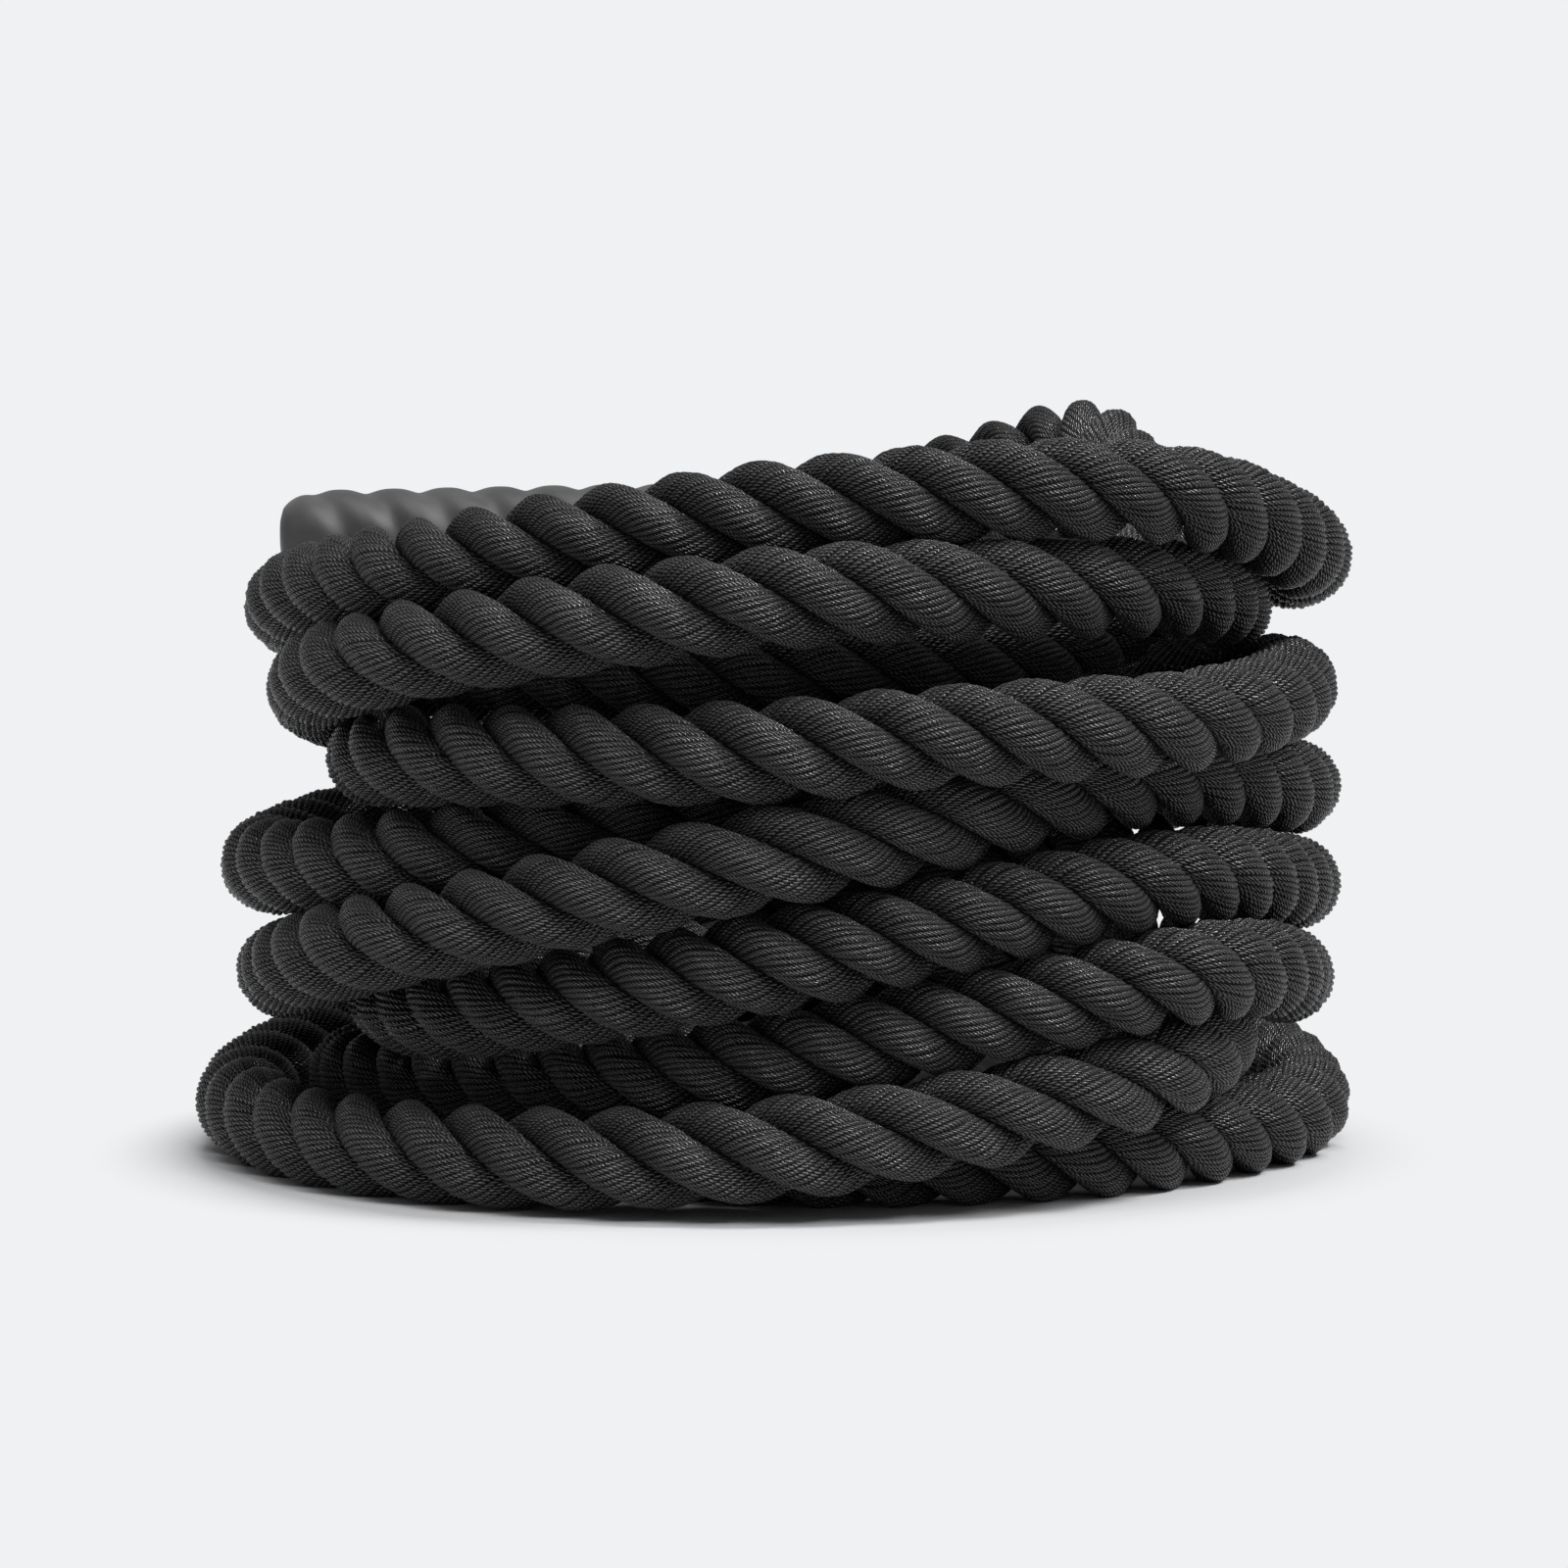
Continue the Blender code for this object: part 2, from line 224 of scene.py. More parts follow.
# The lamps: azimuth (0 is the camera's side, 90 the right), elevation, strength, softness in degrees
SUNS = (
    ("key_sun", 82, 52, 1.7, 14),
    ("front_sun", 35, 50, 0.8, 20),
    ("top_sun", 0, 72, 1.1, 50),
)


def end_points(shares):
    """Places given as shares of the coil's radius and of the rope's diameter."""
    return [(COIL_RADIUS * x, COIL_RADIUS * y, ROPE_DIAMETER * z) for x, y, z in shares]


def turn_points():
    """The stations of every turn, one after another."""
    points = []
    for radius_shares, height_shares in zip(TURN_RADIUS_SHARES, TURN_HEIGHT_SHARES):
        for radius_share, height_share in zip(radius_shares, height_shares):
            angle = math.radians(FIRST_STATION_DEGREES) + math.tau * len(points) / STATIONS_PER_TURN
            radius = COIL_RADIUS * radius_share
            height = ROPE_DIAMETER * height_share
            points.append((radius * math.cos(angle), radius * math.sin(angle), height))
    return points


def smooth_curve(stations, steps):
    """A Catmull-Rom curve through the stations, with that many points from each one to the next."""
    places = np.array(stations)
    places = np.vstack([2 * places[0] - places[1], places, 2 * places[-1] - places[-2]])
    before, start = places[:-3, None], places[1:-2, None]
    end, after = places[2:-1, None], places[3:, None]
    t = (np.arange(steps) / steps)[None, :, None]
    slope = end - before
    bend = 2 * before - 5 * start + 4 * end - after
    twist = 3 * start - before - 3 * end + after
    curve = start + (slope * t + bend * t ** 2 + twist * t ** 3) / 2
    return np.vstack([curve.reshape(-1, places.shape[1]), places[-2]])


def lengths_along(points):
    """The distance from the first point to each point, along the straight runs between them."""
    runs = np.linalg.norm(np.diff(points, axis=0), axis=1)
    return np.concatenate([[0.0], np.cumsum(runs)])


def radii_along(points):
    """The outer radius at each point: the sleeve's on both grips and just past them, else the rope's."""
    along = lengths_along(points)
    to_end = np.minimum(along, along[-1] - along)
    return np.where(to_end < SLEEVE_LENGTH + SLEEVE_MARGIN, SLEEVE_RADIUS, TUBE_RADIUS)


def sample_shares(count, parts):
    """How much of each of the route's points is in every sample, with that many samples to a run."""
    where = np.arange((count - 1) * parts + 1) / parts
    low = np.minimum(where.astype(int), count - 2)
    rows = np.arange(len(where))
    shares = np.zeros((len(where), count))
    shares[rows, low] = 1 - (where - low)
    shares[rows, low + 1] += where - low
    return shares


def close_pairs(points, reach, parts):
    """Pairs of samples within reach of each other, leaving out neighbours along the rope."""
    apart = np.linalg.norm(points[:, None] - points[None], axis=2)
    index = np.arange(len(points))
    return np.nonzero((index[:, None] + NEIGHBOUR_POINTS * parts < index[None]) & (apart < reach))


def settle(route, held):
    """Pushes the turns apart where they press on each other, and smooths how far each part gives way."""
    shares = sample_shares(len(route), SETTLING_PARTS)
    weights = shares.sum(axis=0)[:, None]
    radii = shares @ radii_along(route)
    moved = np.zeros_like(route)
    for settling_round in range(SETTLING_ROUNDS):
        softness = 1 - settling_round / SETTLING_ROUNDS
        samples = shares @ (route + moved)
        if settling_round % PAIRS_EVERY == 0:
            one, two = close_pairs(samples, 3 * SLEEVE_RADIUS, SETTLING_PARTS)
        between = samples[one] - samples[two]
        apart = np.linalg.norm(between, axis=1)
        short = np.clip(radii[one] + radii[two] + TURN_CLEARANCE - apart, 0, None)
        push = between * (short / apart)[:, None]
        pushes = np.zeros_like(samples)
        contacts = np.zeros(len(samples))
        for samples_pushed, sign in ((one, 1), (two, -1)):
            np.add.at(pushes, samples_pushed, sign * push)
            np.add.at(contacts, samples_pushed, short > 0)
        pushes /= np.maximum(1, contacts)[:, None] ** CROWDING_POWER
        moved += PUSH_SHARE * (shares.T @ pushes) / weights
        moved *= 1 - RETURN_SHARE * softness
        middle = (moved[:-2] + moved[2:]) / 2
        moved[1:-1] += SMOOTHING_SHARE * softness * (middle - moved[1:-1])
        moved[:, 2] += np.clip(TUBE_RADIUS - (route + moved)[:, 2], 0, None)
        moved[held] = 0
    return route + moved


def straight_end(points):
    """The route with its first run straight for one rope diameter."""
    heading = points[0] - points[1]
    first = points[1] + heading / np.linalg.norm(heading) * ROPE_DIAMETER
    return np.vstack([first, points[1:]])


def rope_route():
    """The rope's centre line from its inner tip to its outer tip, before the coil is centred."""
    stations = end_points(INNER_END_SHARES) + turn_points() + end_points(OUTER_END_SHARES)
    curve = smooth_curve(stations, POINTS_PER_STATION)
    direction = np.array(OUTER_GRIP_DIRECTION_SHARES)
    direction /= np.linalg.norm(direction)
    runs = np.linspace(0, OUTER_GRIP_RUN_SHARE * SLEEVE_LENGTH, OUTER_GRIP_STEPS + 1)[1:, None]
    route = np.vstack([curve, curve[-1] + runs * direction])
    held_inside = np.arange(POINTS_PER_STATION * 3)
    held_outside = np.arange(len(route) - OUTER_GRIP_STEPS - 2, len(route))
    return straight_end(settle(route, np.concatenate([held_inside, held_outside])))


def smooth_step(x, start, end):
    """0 before start, 1 after end, and a smooth rise between them."""
    t = np.clip((x - start) / (end - start), 0, 1)
    return t * t * (3 - 2 * t)


def visual_route(route):
    """The part's centred route, lifted so that the round rope stands on the floor and isn't cut by it.

    The inner grip already lies just off the floor, so it stays where it is.
    """
    middle = (route.min(axis=0) + route.max(axis=0)) / 2
    lift = smooth_step(lengths_along(route), SLEEVE_LENGTH, 3 * SLEEVE_LENGTH) * FLAT_DEPTH
    return route - np.array([middle[0], middle[1], FLAT_DEPTH]) + lift[:, None] * np.array([0, 0, 1.0])


def ring_path(route):
    """Even ring centres on a smooth curve through the route, and where each lies among its points."""
    numbered = np.column_stack([route, np.arange(len(route))])
    curve = smooth_curve(numbered, PATH_PARTS)
    along = lengths_along(curve[:, :3])
    at = np.linspace(0, along[-1], int(round(along[-1] / RING_STEP)) + 1)
    even = np.column_stack([np.interp(at, along, curve[:, axis]) for axis in range(4)])
    return even[:, :3], even[:, 3], at


def turning_frames(path):
    """Tangents along the path, and two directions across it that turn no more than they must."""
    tangents = np.gradient(path, axis=0)
    tangents /= np.linalg.norm(tangents, axis=1)[:, None]
    across = np.zeros_like(path)
    across[0] = np.cross(tangents[0], (0, 0, 1))
    for i in range(len(path)):
        last = across[max(i - 1, 0)]
        flat = last - np.dot(last, tangents[i]) * tangents[i]
        across[i] = flat / np.linalg.norm(flat)
    return tangents, across, np.cross(tangents, across)


def lay_angles(route_index, at):
    """How far the strands have turned round the rope at each ring."""
    first_front = POINTS_PER_STATION * (len(INNER_END_SHARES) + 1)
    half_turn = POINTS_PER_STATION * STATIONS_PER_TURN / 2
    at_marks = [pitch for turn in TURN_LAY_PITCHES for pitch in turn]
    marks = [0, *(first_front + half_turn * np.arange(len(at_marks))), route_index[-1]]
    pitches = np.interp(route_index, marks, (INNER_LAY_PITCH, *at_marks, OUTER_LAY_PITCH))
    turns = np.concatenate([[0], np.cumsum(np.diff(at) * 2 / (pitches[1:] + pitches[:-1]))])
    return math.tau * turns


def wandering(rng, count, at, step):
    """Smooth random values from about -1 to 1 along the rope, one column for each of count things."""
    knots = np.arange(0, at[-1] + 3 * step, step)
    values = rng.uniform(-1, 1, (len(knots), count))
    where = at / step
    low = where.astype(int)
    t = (where - low)[:, None]
    t = t * t * (3 - 2 * t)
    return values[low] * (1 - t) + values[low + 1] * t


def rounded_end(distance):
    """How much of its girth a grip keeps at a distance from its closed end."""
    short = 1 - np.clip(distance / END_ROUND, 0, 1)
    return 1 - (1 - END_FACE_SHARE) * (1 - np.sqrt(1 - short ** END_ROUND_POWER))


def strand_outline(beta, radius):
    """The strand's outline round its own centre, flat against the two planes that it shares."""
    side = STRAND_OFFSET * math.sin(math.pi / STRANDS) - STRAND_GAP
    normal = math.pi / 2 + math.pi / STRANDS
    beta = np.abs((beta + math.pi) % math.tau - math.pi)
    facing = np.cos(beta - normal)
    least = FLAT_FACING_SHARE
    plane = np.where(facing > least, side / np.maximum(facing, least), 1.0)
    blend = np.clip(0.5 + 0.5 * (plane - radius) / STRAND_EDGE_ROUND, 0, 1)
    return plane * (1 - blend) + radius * blend - STRAND_EDGE_ROUND * blend * (1 - blend)


def strand_rings(path, frames, lay, at, number, rng):
    """The points of every ring of a strand, which follow its yarns from ring to ring."""
    _, across, up = frames
    count = YARNS_PER_STRAND * YARN_POINTS
    column = np.arange(count)
    swell, wander = (wandering(rng, YARNS_PER_STRAND, at, SWELL_STEP) for _ in range(2))
    yarn_swell = np.repeat(swell, YARN_POINTS, axis=1) * YARN_SWELL
    yarn_wander = np.repeat(wander, YARN_POINTS, axis=1) * YARN_WANDER_SHARE * YARN_POINTS
    beta = math.tau * (column[None] + yarn_wander) / count - math.tau * at[:, None] / YARN_PITCH
    strand_swell = wandering(rng, 1, at, 2 * SWELL_STEP) * STRAND_SWELL
    profile = np.tile(YARN_PROFILE, YARNS_PER_STRAND)[None]
    grip = np.minimum(at, at[-1] - at)[:, None]
    free = smooth_step(grip, SLEEVE_LENGTH - SQUEEZE_INSIDE, SLEEVE_LENGTH + SQUEEZE_OUTSIDE)
    squeezed = (STRAND_SQUEEZE + (1 - STRAND_SQUEEZE) * free) * rounded_end(grip + END_CAP)
    radius = (STRAND_RADIUS + strand_swell) + yarn_swell - YARN_RIDGE * (1 - profile)
    radius = strand_outline(beta, radius)
    turned = lay[:, None] + math.tau * number / STRANDS
    out = (STRAND_OFFSET + radius * np.cos(beta)) * squeezed
    side = radius * np.sin(beta) * squeezed
    x = out * np.cos(turned) - side * np.sin(turned)
    y = out * np.sin(turned) + side * np.cos(turned)
    return path[:, None] + x[..., None] * across[:, None] + y[..., None] * up[:, None]


def touching_turns(path, radii):
    """Pairs of rings where two turns come nearest to each other, closely enough to press."""
    skip = int(NEIGHBOUR_POINTS * ROUTE_POINT_STEP / RING_STEP)
    pairs = []
    for i in range(len(path)):
        apart = np.linalg.norm(path - path[i], axis=1)
        near = apart < radii + radii[i] + TOUCH_REACH
        near[max(0, i - skip):i + skip + 1] = False
        near[1:] &= apart[1:] <= apart[:-1]
        near[:-1] &= apart[:-1] <= apart[1:]
        pairs += [(i, j, apart[j]) for j in np.nonzero(near)[0]]
    return pairs


def press(rings, path, pairs, radii):
    """Flattens rings against the turns that they touch, and against the floor."""
    for i, j, apart in pairs:
        towards = (path[j] - path[i]) / apart
        limit = apart * radii[i] / (radii[i] + radii[j])
        over = (rings[i] - path[i]) @ towards - limit
        rings[i] -= np.clip(over, 0, None)[:, None] * towards
    rings[..., 2] = np.maximum(rings[..., 2], FLOOR_GAP)
    return rings


def grid_mesh(name, rings, uv_rows, looks):
    """A closed mesh over rings of points, with a fan of triangles on both ends, and its maps."""
    ring_count, count, _ = rings.shape
    caps = rings[[0, -1]].mean(axis=1)
    points = np.vstack([rings.reshape(-1, 3), caps])
    i, j = np.meshgrid(np.arange(ring_count - 1), np.arange(count), indexing="ij")
    after = (j + 1) % count
    this, following = i * count, (i + 1) * count
    quads = np.stack([this + j, this + after, following + after, following + j], axis=-1)
    quads = quads.reshape(-1, 4)
    j = np.arange(count)
    after = (j + 1) % count
    start, end = len(points) - 2, len(points) - 1
    last = (ring_count - 1) * count
    fans = np.vstack([
        np.column_stack([np.full(count, start), after, j]),
        np.column_stack([np.full(count, end), last + j, last + after]),
    ])
    mesh = bpy.data.meshes.new(name)
    mesh.vertices.add(len(points))
    mesh.vertices.foreach_set("co", points.astype(np.float32).ravel())
    corners = np.concatenate([quads.ravel(), fans.ravel()]).astype(np.int32)
    mesh.loops.add(len(corners))
    mesh.loops.foreach_set("vertex_index", corners)
    starts = np.concatenate([4 * np.arange(len(quads)), 4 * len(quads) + 3 * np.arange(len(fans))])
    mesh.polygons.add(len(starts))
    mesh.polygons.foreach_set("loop_start", starts.astype(np.int32))
    for map_name, u, v in uv_rows(ring_count, count):
        layer = mesh.uv_layers.new(name=map_name, do_init=False)
        layer.uv.foreach_set("vector", np.column_stack([u, v]).astype(np.float32).ravel())
    mesh.update(calc_edges=True)
    mesh.validate()
    mesh.shade_smooth()
    mesh.materials.append(looks)
    piece = bpy.data.objects.new(name, mesh)
    bpy.context.scene.collection.objects.link(piece)
    return piece


def corner_grid(ring_count, count):
    """The ring and the column of each corner of grid_mesh's faces, and the ring its face starts on."""
    i, j = np.meshgrid(np.arange(ring_count - 1), np.arange(count), indexing="ij")
    rings = np.stack([i, i, i + 1, i + 1], axis=-1).ravel()
    columns = np.stack([j, j + 1, j + 1, j], axis=-1).ravel()
    faces = np.repeat(i.ravel(), 4)
    j = np.arange(count)
    middle = np.full(count, count / 2)
    cap_rings = np.concatenate([np.zeros(3 * count), np.full(3 * count, ring_count - 1.0)])
    start_columns = np.column_stack([middle, j + 1, j]).ravel()
    end_columns = np.column_stack([middle, j, j + 1]).ravel()
    rings = np.concatenate([rings, cap_rings])
    columns = np.concatenate([columns, start_columns, end_columns])
    faces = np.concatenate([faces, cap_rings])
    return rings, columns, faces


def yarn_maps(number, at):
    """The maps of a strand: one along and across its yarns, and one laid out in rows for baking."""
    def rows(ring_count, count):
        rings, columns, faces = corner_grid(ring_count, count)
        along = at[rings.astype(int)]
        yarn = columns / YARN_POINTS + 2 * YARNS_PER_STRAND * number
        per_row = math.ceil((ring_count - 1) / BAKE_ROWS)
        row = np.minimum(faces // per_row, BAKE_ROWS - 1)
        u = (rings - row * per_row) / per_row
        v = (row + ROW_MARGIN + (1 - 2 * ROW_MARGIN) * columns / count) / BAKE_ROWS
        return (("yarns", along, yarn), ("OFBake", ROW_END_MARGIN + (1 - 2 * ROW_END_MARGIN) * u, v))
    return rows


class Nodes:
    """Makes and links shader nodes in a material's or the world's tree."""

    def __init__(self, tree):
        self.tree = tree

    def add(self, kind, output=0, **settings):
        """A new node of a kind; settings name its properties, or its inputs as in_NAME or in_NUMBER."""
        node = self.tree.nodes.new("ShaderNode" + kind)
        for name, value in settings.items():
            if not name.startswith("in_"):
                setattr(node, name, value)
        for name, value in settings.items():
            if name.startswith("in_"):
                key = name[3:]
                socket = node.inputs[int(key) if key.isdigit() else key.replace("_", " ")]
                self.feed(socket, value)
        return node.outputs[output]

    def feed(self, socket, value):
        """Links an output to a socket, or sets the socket to a plain value."""
        if isinstance(value, bpy.types.NodeSocket):
            self.tree.links.new(value, socket)
        else:
            socket.default_value = value

    def math(self, operation, one, two=0.0, three=0.0):
        """A Math node."""
        return self.add("Math", operation=operation, in_0=one, in_1=two, in_2=three)

    def vector(self, x=0.0, y=0.0, z=0.0):
        """A vector from three numbers or outputs."""
        return self.add("CombineXYZ", in_0=x, in_1=y, in_2=z)

    def noise(self, place, scale, detail=2.0, roughness=0.5):
        """A Noise Texture's value."""
        return self.add(
            "TexNoise", in_Vector=place, in_Scale=scale, in_Detail=detail, in_Roughness=roughness,
        )

    def ramp(self, value, low, high, to_low=0.0, to_high=1.0):
        """A value taken from one range to another, and held inside it."""
        return self.add("MapRange", in_0=value, in_1=low, in_2=high, in_3=to_low, in_4=to_high)

    def mix(self, share, one, two):
        """A mix of two colours."""
        node = self.tree.nodes.new("ShaderNodeMix")
        node.data_type = "RGBA"
        self.feed(node.inputs[0], share)
        for socket, value in ((node.inputs[6], one), (node.inputs[7], two)):
            self.feed(socket, value if isinstance(value, bpy.types.NodeSocket) else (*value, 1.0))
        return node.outputs[2]


def new_material(name):
    """A material with only a Principled shader, its nodes' helper and the shader."""
    made = bpy.data.materials.new(name)
    made.use_nodes = True
    return made, Nodes(made.node_tree), made.node_tree.nodes["Principled BSDF"]


def fibre_material():
    """Black polyester yarn: twisted filaments with small glints, which gloss and are also painted lighter
    in the colour, valleys painted darker as shade, and a little fuzz.
    """
    made, nodes, shader = new_material("black_rope_fibre")
    place = nodes.add("UVMap", uv_map="yarns")
    apart = nodes.tree.nodes.new("ShaderNodeSeparateXYZ")
    nodes.feed(apart.inputs[0], place)
    along, yarns = apart.outputs[0], apart.outputs[1]
    across = nodes.math("FRACT", yarns)
    yarn = nodes.math("FLOOR", yarns)
    chance = nodes.add("TexWhiteNoise", noise_dimensions="1D", in_W=yarn)
    from_middle = nodes.math("ABSOLUTE", nodes.math("MULTIPLY_ADD", across, 2.0, -1.0))
    crown = nodes.math("SUBTRACT", 1.0, from_middle)
    waver_along = nodes.math("MULTIPLY", along, WAVER_SPOTS)
    waver_across = nodes.math("MULTIPLY", yarns, WAVER_SPOTS_ACROSS)
    waver = nodes.noise(nodes.vector(waver_along, waver_across, chance), 1.0, 2.0)
    slant = nodes.math("MULTIPLY", across, FILAMENT_SLANT)
    turns = nodes.math("MULTIPLY_ADD", along, 1 / FILAMENT_SPACING, slant)
    shift = nodes.math("MULTIPLY", chance, FILAMENT_CHANCE)
    turns = nodes.math("ADD", turns, nodes.math("MULTIPLY_ADD", waver, FILAMENT_WAVER, shift))
    wave = nodes.math("SINE", nodes.math("MULTIPLY", turns, math.tau))
    filament = nodes.math("MULTIPLY_ADD", wave, 0.5, 0.5)
    patch_along = nodes.math("MULTIPLY", along, PATCH_SPOTS)
    patch_across = nodes.math("MULTIPLY", yarns, PATCH_SPOTS_ACROSS)
    patchy = nodes.noise(nodes.vector(patch_along, patch_across), 1.0, 3.0)
    # The filament dashes on the yarns' crests: they gloss more, and are also painted lighter in the
    # colour as glints
    glint_dash = nodes.math("MULTIPLY", nodes.ramp(filament, 0.25, 0.85), nodes.ramp(crown, 0.0, 0.6))
    tone_and_painted_light = nodes.math("MULTIPLY_ADD", glint_dash, 0.55, nodes.math("MULTIPLY_ADD", patchy, 0.5, -0.05))
    tone_and_painted_light = nodes.math("MULTIPLY_ADD", chance, 0.2, tone_and_painted_light)
    # Painted shade: the colour darkens towards the valleys between yarns
    tone_and_painted_light = nodes.math("MULTIPLY", tone_and_painted_light, nodes.ramp(crown, 0.05, 0.5, 0.15, 1.0))
    nodes.feed(shader.inputs["Base Color"], nodes.mix(tone_and_painted_light, FIBRE_DARK_AND_VALLEY_SHADE, FIBRE_LIGHT_AND_GLINT))
    nodes.feed(shader.inputs["Roughness"], nodes.ramp(waver, 0.3, 0.7, 0.22, 0.38))
    height = nodes.math("MULTIPLY_ADD", filament, 0.8, nodes.math("MULTIPLY", waver, 0.5))
    bump = nodes.add("Bump", in_Strength=1.0, in_Distance=FILAMENT_RELIEF, in_Height=height)
    nodes.feed(shader.inputs["Normal"], bump)
    nodes.feed(shader.inputs["Specular IOR Level"], nodes.ramp(glint_dash, 0.1, 0.8, 0.05, 1.0))
    shader.inputs["IOR"].default_value = 1.6
    shader.inputs["Sheen Weight"].default_value = 0.10
    shader.inputs["Sheen Roughness"].default_value = 0.4
    shader.inputs["Sheen Tint"].default_value = FUZZ_COLOUR
    return made


def sleeve_material():
    """Heat-shrunk black plastic: semi-matte, with faint scuffs and fine orange peel."""
    made, nodes, shader = new_material("black_grip_sleeve")
    place = nodes.add("TexCoord", output="Object")
    scuffs = nodes.noise(place, SCUFF_SPOTS, 4.0, 0.6)
    peel = nodes.noise(place, PEEL_SPOTS, 2.0)
    broad = nodes.noise(place, BROAD_SPOTS, 2.0)
    nodes.feed(shader.inputs["Base Color"], nodes.mix(scuffs, SLEEVE_DARK, SLEEVE_LIGHT))
    nodes.feed(shader.inputs["Roughness"], nodes.ramp(scuffs, 0.3, 0.7, 0.38, 0.55))
    shader.inputs["Sheen Weight"].default_value = 0.25
    shader.inputs["Sheen Roughness"].default_value = 0.45
    height = nodes.math("MULTIPLY_ADD", peel, 0.15, broad)
    bump = nodes.add("Bump", in_Strength=0.35, in_Distance=SKIN_RELIEF, in_Height=height)
    nodes.feed(shader.inputs["Normal"], bump)
    return made


def tape_material():
    """Black cloth tape with a fine weave."""
    made, nodes, shader = new_material("black_binding_tape")
    place = nodes.add("TexCoord", output="Object")
    weave = nodes.add("TexWave", in_Vector=place, in_Scale=TAPE_WEAVE_SPOTS, in_Distortion=0.4)
    worn = nodes.noise(place, TAPE_WORN_SPOTS, 3.0)
    nodes.feed(shader.inputs["Base Color"], nodes.mix(worn, TAPE_DARK, TAPE_LIGHT))
    nodes.feed(shader.inputs["Roughness"], nodes.ramp(worn, 0.3, 0.7, 0.5, 0.7))
    bump = nodes.add("Bump", in_Strength=0.4, in_Distance=TAPE_RELIEF, in_Height=weave)
    nodes.feed(shader.inputs["Normal"], bump)
    return made


def tip_stretch(path, frames, lay, at, from_end, start, end, count):
    """Centres, frames and lay at even distances from a tip, which may lie before it."""
    distance = np.linspace(start, end, count)
    where = at[-1] - distance if from_end else distance
    inside = np.clip(where, 0, at[-1])
    beyond = (where - inside)[:, None]

    def sample(values):
        columns = [np.interp(inside, at, values[:, axis]) for axis in range(values.shape[1])]
        return np.column_stack(columns)

    tangents, across, up = (sample(values) for values in frames)
    centres = sample(path) + beyond * tangents
    pitch = OUTER_LAY_PITCH if from_end else INNER_LAY_PITCH
    turned = np.interp(inside, at, lay) + beyond[:, 0] * math.tau / pitch
    return distance, centres, across, up, turned


def lobed_rings(centres, across, up, turned, radius, dip, narrowing):
    """Rings that follow the three strands under a skin, dipping over the grooves."""
    angle = math.tau * np.arange(SKIN_COLUMNS)[None] / SKIN_COLUMNS
    lobe = 0.5 - 0.5 * np.cos(STRANDS * (angle - turned[:, None]))
    r = (radius[:, None] - dip[:, None] * lobe ** SKIN_DIP_POWER) * narrowing[:, None]
    x = (r * np.cos(angle))[..., None]
    y = (r * np.sin(angle))[..., None]
    return centres[:, None] + x * across[:, None] + y * up[:, None]


def skin_maps(ring_count, count):
    """A plain map round and along a skin."""
    rings, columns, _ = corner_grid(ring_count, count)
    span = 1 - 2 * SKIN_MARGIN
    u = SKIN_MARGIN + span * rings / (ring_count - 1)
    v = SKIN_MARGIN + span * columns / count
    return (("OFBake", u, v),)


def make_sleeve(name, path, frames, lay, at, from_end, looks):
    """A shrunk-on grip sleeve: an outer skin closed over the tip, its rim, and the inner skin."""
    radius = SLEEVE_RADIUS - SKIN_INSET
    inner_radius = radius - (SLEEVE_WALL - SKIN_INSET)
    outside = tip_stretch(path, frames, lay, at, from_end, -END_CAP, SLEEVE_LENGTH, OUTER_SKIN_RINGS)
    inside = tip_stretch(path, frames, lay, at, from_end, SLEEVE_LENGTH, -FIT_GAP, INNER_SKIN_RINGS)
    parts = [skin_rings(*outside, radius), skin_rings(*inside, inner_radius)]
    return closed_skin(name, parts, from_end, looks)


def skin_rings(distance, centres, across, up, turned, radius):
    """Rings of a sleeve's skin, which dips over the grooves and is rounded off at the tip."""
    from_cap = distance + END_CAP
    dip = SKIN_DIP * smooth_step(from_cap, SKIN_DIP_START, SKIN_DIP_END)
    radii = np.full(len(distance), radius)
    return lobed_rings(centres, across, up, turned, radii, dip, rounded_end(from_cap))


def closed_skin(name, parts, from_end, looks):
    """A mesh over stretches of rings, which turn the other way round at the rope's far end."""
    rings = np.vstack(parts)
    if from_end:
        rings = rings[:, ::-1]
    return grid_mesh(name, rings, skin_maps, looks)


def make_binding(name, path, frames, lay, at, from_end, looks):
    """The tape round the strands at a tip, under the sleeve."""
    radius = (STRAND_OFFSET + STRAND_RADIUS) * STRAND_SQUEEZE + BINDING_WALL
    outside = tip_stretch(path, frames, lay, at, from_end, 0.0, BINDING_LENGTH, TAPE_RINGS)
    inside = tip_stretch(path, frames, lay, at, from_end, BINDING_LENGTH, 0.0, TAPE_RINGS)
    ones = np.ones(TAPE_RINGS)
    dip = SKIN_DIP * ones
    narrowing = rounded_end(outside[0] + END_CAP)
    outer = lobed_rings(*outside[1:], radius * ones, dip, narrowing)
    inner = lobed_rings(*inside[1:], (radius - TAPE_THICKNESS) * ones, dip, narrowing[::-1])
    return closed_skin(name, [outer, inner, outer[:1]], from_end, looks)


def make_camera():
    """The camera at the photograph's viewpoint, made first so that the cord is measured in its view."""
    camera = bpy.data.objects.new("camera", bpy.data.cameras.new("camera"))
    camera.data.lens = CAMERA_LENS
    camera.data.sensor_width = CAMERA_SENSOR
    camera.data.sensor_fit = "HORIZONTAL"
    camera.location = CAMERA_AT
    camera.rotation_euler = (math.radians(90 + CAMERA_PITCH_DEGREES), 0, 0)
    bpy.context.scene.collection.objects.link(camera)
    bpy.context.scene.camera = camera


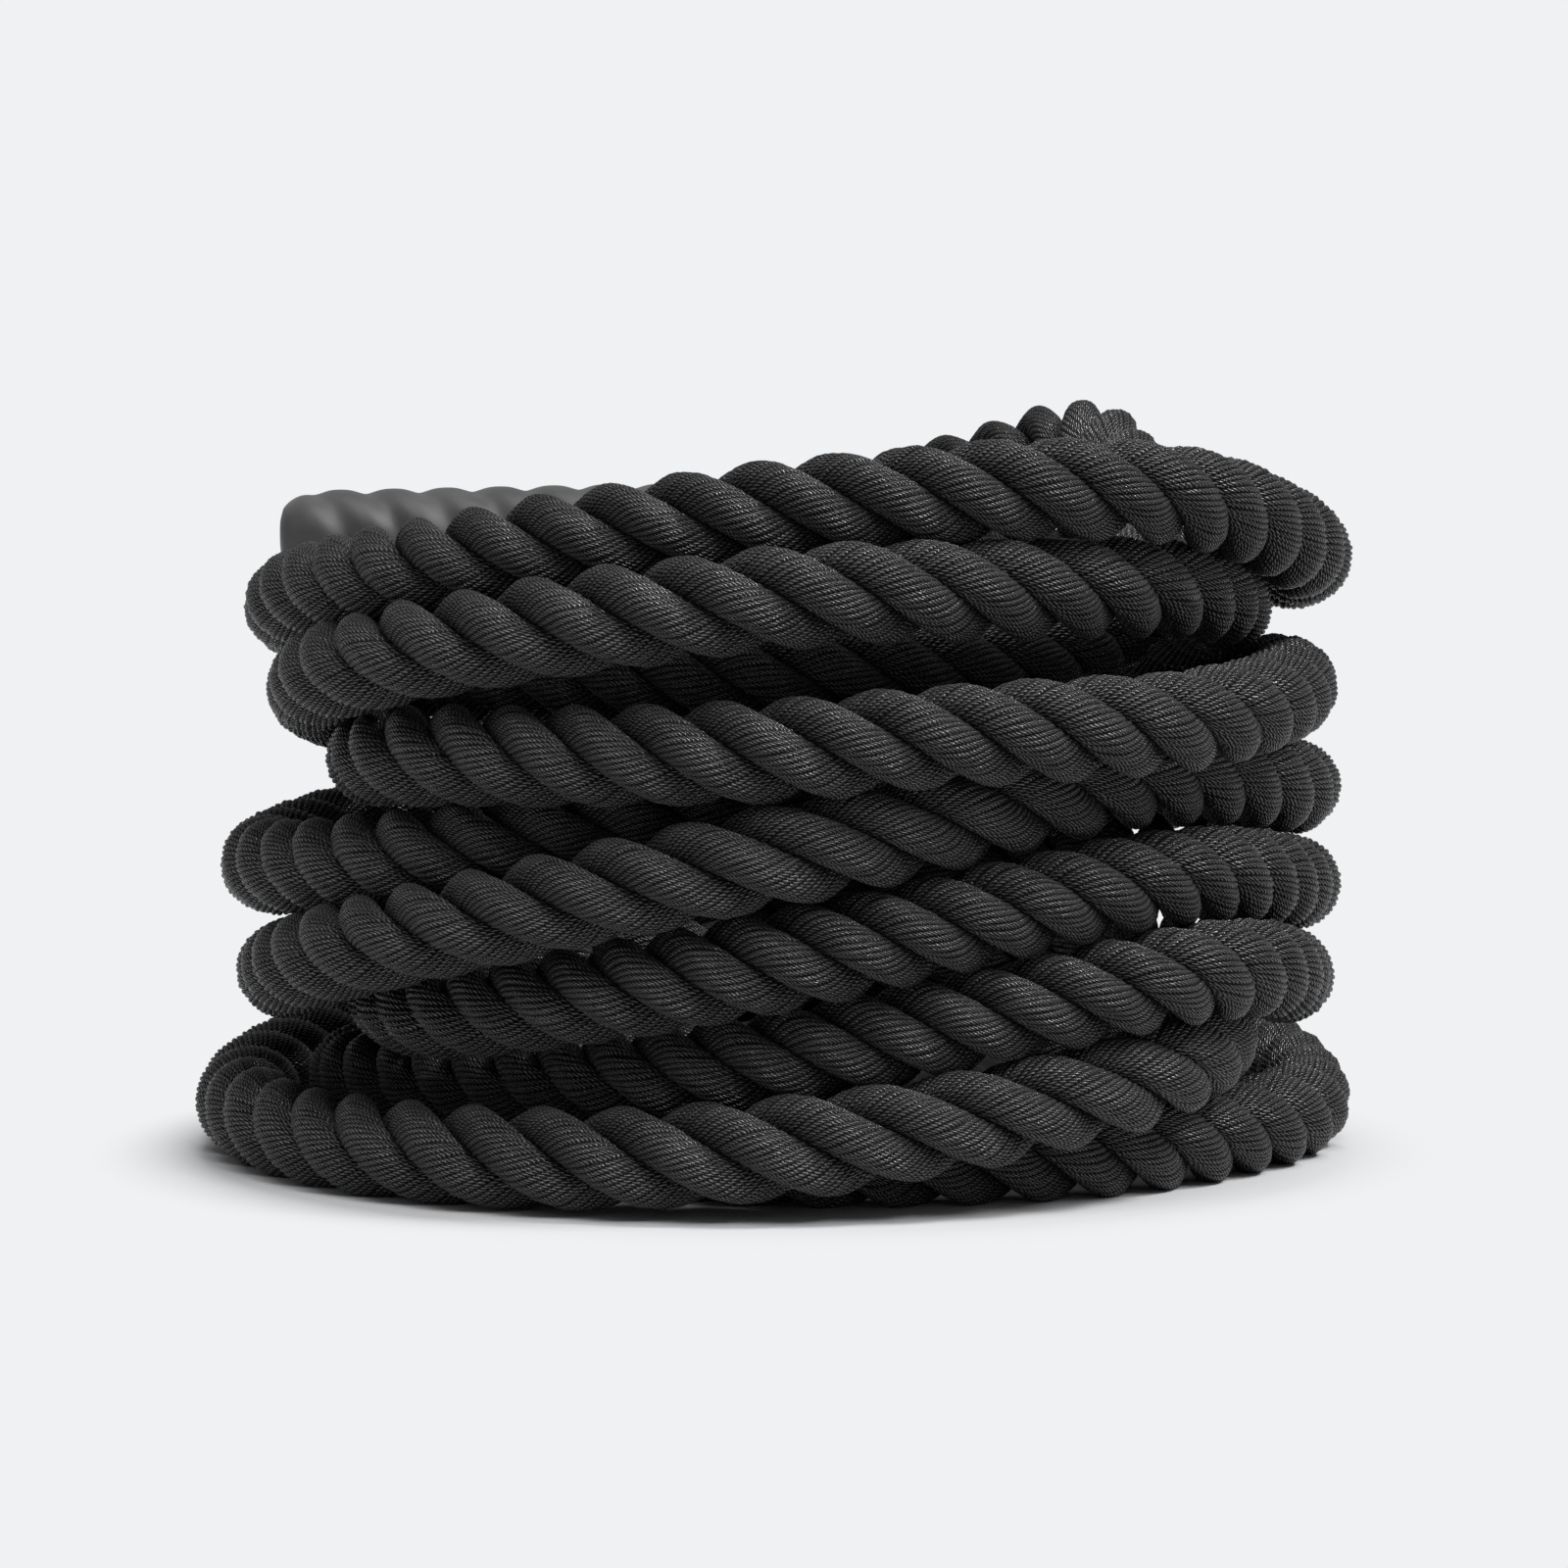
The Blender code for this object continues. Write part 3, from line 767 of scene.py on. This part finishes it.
def floor_material():
    """A pale floor: it keeps the shadow near the coil, and further out is the backdrop's plain colour."""
    made, nodes, shader = new_material("pale_floor")
    paths = nodes.tree.nodes.new("ShaderNodeLightPath")
    seen = nodes.math("MAXIMUM", paths.outputs["Is Camera Ray"], paths.outputs["Is Transmission Ray"])
    seen = nodes.math("MAXIMUM", seen, paths.outputs["Is Glossy Ray"])
    place = nodes.add("TexCoord", output="Object")
    far = nodes.add("VectorMath", output="Value", operation="LENGTH", in_0=place)
    far = nodes.ramp(far, SHADOW_FADE_START, SHADOW_FADE_END)
    far = nodes.math("MULTIPLY", far, nodes.math("MULTIPLY_ADD", far, -1.0, 2.0))
    plain = nodes.math("MULTIPLY", seen, far)
    lit = nodes.mix(seen, FLOOR_LIGHT_COLOUR, FLOOR_SEEN_COLOUR)
    nodes.feed(shader.inputs["Base Color"], nodes.mix(plain, lit, (0.0, 0.0, 0.0)))
    shader.inputs["Emission Color"].default_value = (*PALE_COLOUR, 1.0)
    nodes.feed(shader.inputs["Emission Strength"], plain)
    shader.inputs["Roughness"].default_value = 0.9
    shader.inputs["Specular IOR Level"].default_value = 0.0
    return made


def make_floor():
    """The floor that the coil stands on."""
    bpy.ops.mesh.primitive_plane_add(size=FLOOR_SIZE)
    floor = bpy.context.object
    floor.name = "floor"
    floor.location = (0, 0, 0)
    floor.data.materials.append(floor_material())


def make_world():
    """A plain grey world that the camera sees in the backdrop's colour."""
    world = bpy.data.worlds.new("studio")
    bpy.context.scene.world = world
    world.use_nodes = True
    nodes = Nodes(world.node_tree)
    paths = nodes.tree.nodes.new("ShaderNodeLightPath")
    seen = nodes.math("MAXIMUM", paths.outputs["Is Camera Ray"], paths.outputs["Is Transmission Ray"])
    background = world.node_tree.nodes["Background"]
    nodes.feed(background.inputs["Color"], nodes.mix(seen, WORLD_LIGHT_COLOUR, PALE_COLOUR))
    background.inputs["Strength"].default_value = 1.0


def make_sun(name, azimuth, elevation, strength, softness):
    """A white sun lamp; the angles are in degrees, and softness is the sun's apparent width."""
    lamp = bpy.data.lights.new(name, "SUN")
    lamp.energy = strength
    lamp.angle = math.radians(softness)
    sun = bpy.data.objects.new(name, lamp)
    sun.rotation_euler = (math.radians(90 - elevation), 0, math.radians(azimuth))
    bpy.context.scene.collection.objects.link(sun)


def make_surroundings():
    """The pale floor, the plain world and the soft lamps."""
    make_floor()
    make_world()
    for sun in SUNS:
        make_sun(*sun)


def make_rope(looks):
    """The three strands, their grips and their bindings, in place of the part's nodes."""
    route = visual_route(rope_route())
    path, route_index, at = ring_path(route)
    frames = turning_frames(path)
    lay = lay_angles(route_index, at)
    grip = np.minimum(at, at[-1] - at)
    crest = STRAND_OFFSET + STRAND_RADIUS
    radii = np.where(grip < SLEEVE_LENGTH, SLEEVE_RADIUS, crest)
    pairs = touching_turns(path, radii)
    rng = np.random.default_rng(SWELL_SEED)
    for number in range(STRANDS):
        rings = strand_rings(path, frames, lay, at, number, rng)
        rings = press(rings, path, pairs, radii)
        name = "rope_strand_%d" % (number + 1)
        strand = grid_mesh(name, rings, yarn_maps(number, at), looks["fibre"])
        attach(strand, "root")
        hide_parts("rope")
    for end_name, from_end in (("inner", False), ("outer", True)):
        sleeve = make_sleeve(end_name + "_grip_skin", path, frames, lay, at, from_end, looks["sleeve"])
        tape = make_binding(end_name + "_end_tape", path, frames, lay, at, from_end, looks["tape"])
        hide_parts(end_name + "_grip_sleeve")
        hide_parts(end_name + "_end_binding")
        for piece in (sleeve, tape):
            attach(piece, "root")


make_camera()
make_rope({"fibre": fibre_material(), "sleeve": sleeve_material(), "tape": tape_material()})
make_surroundings()
bpy.context.scene.view_settings.view_transform = "Standard"
